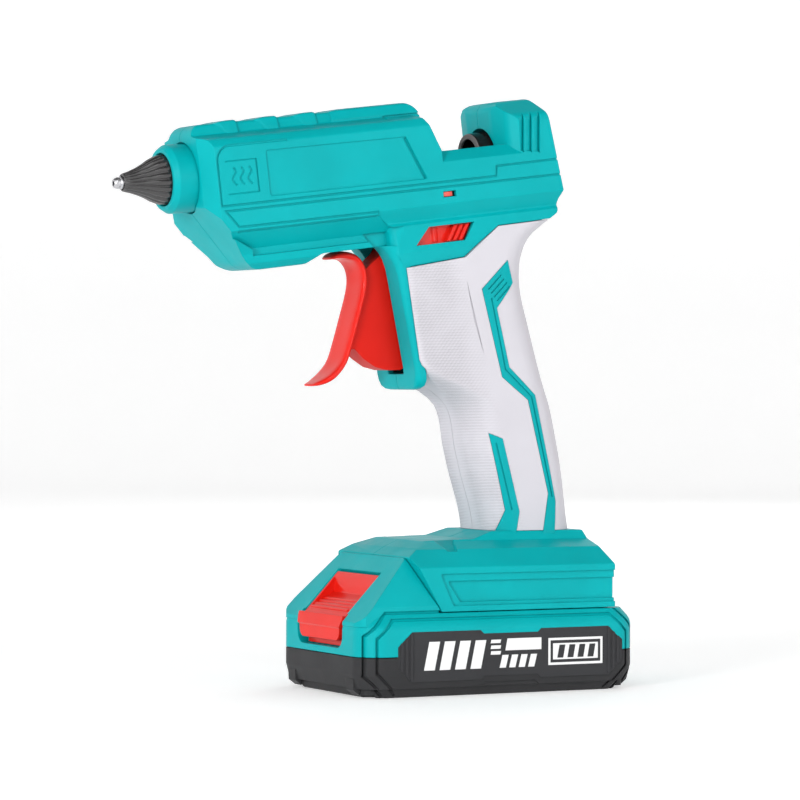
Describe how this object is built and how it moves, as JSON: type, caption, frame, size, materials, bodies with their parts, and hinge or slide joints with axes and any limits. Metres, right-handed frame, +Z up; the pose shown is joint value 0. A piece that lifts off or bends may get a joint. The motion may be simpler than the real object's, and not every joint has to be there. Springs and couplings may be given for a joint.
{
  "type": "cordless glue gun",
  "caption": "Cordless hot-melt glue gun with pistol grip, squeeze trigger, finned nozzle and slide-on battery base it stands on.",
  "frame": {"origin": "centre of the battery pack's underside", "axes": "+Z up, -X towards the nozzle, +X to the rear, -Y the side with the power switch"},
  "size_m": [0.1991, 0.0732, 0.2213],
  "materials": {
    "teal_shell": "fine moulded grain",
    "grip_white": "soft-touch, fine dotted texture",
    "red_plastic": "semi-gloss",
    "black_plastic": "fine moulded grain",
    "black_rubber": "matt, heat resistant",
    "steel": "satin",
    "aluminium": "cast, satin",
    "red_lens": "clear red, polished",
    "board_green": "solder mask",
    "ceramic": "unglazed",
    "cell_wrap": "shrink-wrapped can"
  },
  "bodies": {
    "housing": {"left_housing": "teal_shell", "right_housing": "teal_shell", "left_grip_cover": "grip_white", "right_grip_cover": "grip_white", "front_collar": "teal_shell", "nozzle_sleeve": "black_rubber", "nozzle_tip": "steel", "melt_chamber": "aluminium", "heater_plate": "ceramic", "heater_clip": "steel", "stick_seal": "black_rubber", "rear_guide_tube": "black_plastic", "control_board": "board_green", "slide_switch_body": "black_plastic", "indicator_lens": "red_lens", "indicator_lamp": "ceramic", "terminal_block": "black_plastic", "contact_blade_1": "steel", "contact_blade_2": "steel", "trigger_pivot_pin": "steel", "trigger_spring": "steel", "nose_screw": "steel", "barrel_screw": "steel", "tower_screw": "steel", "neck_screw": "steel", "grip_screw": "steel", "handle_screw": "steel", "foot_screw": "steel"},
    "trigger_lever": {"trigger": "red_plastic", "link_pin": "steel"},
    "feeder": {"feed_carriage": "black_plastic", "jaw_pin": "steel"},
    "jaw": {"clamp_jaw": "steel"},
    "switch_slider": {"power_switch_knob": "red_plastic"},
    "battery_pack": {"pack_lower_case": "black_plastic", "pack_upper_cover": "teal_shell", "left_pack_plate": "black_plastic", "right_pack_plate": "black_plastic", "pack_board": "board_green", "pack_terminal": "black_plastic", "release_spring": "steel", "cell_1": "cell_wrap", "cell_2": "cell_wrap", "cell_3": "cell_wrap", "cell_4": "cell_wrap", "cell_5": "cell_wrap", "pack_screw_1": "steel", "pack_screw_2": "steel", "pack_screw_3": "steel", "pack_screw_4": "steel"},
    "pack_release": {"release_button": "red_plastic"}
  },
  "joints": [
    {"name": "trigger_squeeze", "type": "hinge", "parent": "housing", "child": "trigger_lever", "pos_m": [-0.03, 0, 0.16], "axis": [0, -1, 0], "range_deg": [0, 18], "stiffness_Nm_per_rad": 0.8, "springref_deg": -17.19, "deforming": ["trigger_spring"]},
    {"name": "stick_feed", "type": "slide", "parent": "housing", "child": "feeder", "axis": [-0.9954, 0, -0.0958], "range_m": [0, 0.0077]},
    {"name": "jaw_bite", "type": "hinge", "parent": "feeder", "child": "jaw", "pos_m": [-0.02993, 0, 0.20779], "axis": [0, -1, 0], "range_deg": [0, 16.5]},
    {"name": "power_switch", "type": "slide", "parent": "housing", "child": "switch_slider", "axis": [-0.9921, 0, -0.1253], "range_m": [0, 0.005]},
    {"name": "pack_slide", "type": "slide", "parent": "housing", "child": "battery_pack", "axis": [-1, 0, 0], "range_m": [0, 0.12]},
    {"name": "release_press", "type": "slide", "parent": "battery_pack", "child": "pack_release", "axis": [0, 0, -1], "range_m": [0, 0.0024], "stiffness_N_per_m": 900, "springref_m": -0.002, "deforming": ["release_spring"]}
  ],
  "couplings": [
    {"joint": "stick_feed", "follows": "trigger_squeeze", "m_per_rad": 0.0239},
    {"joint": "jaw_bite", "follows": "trigger_squeeze", "ratio": 0.9}
  ]
}
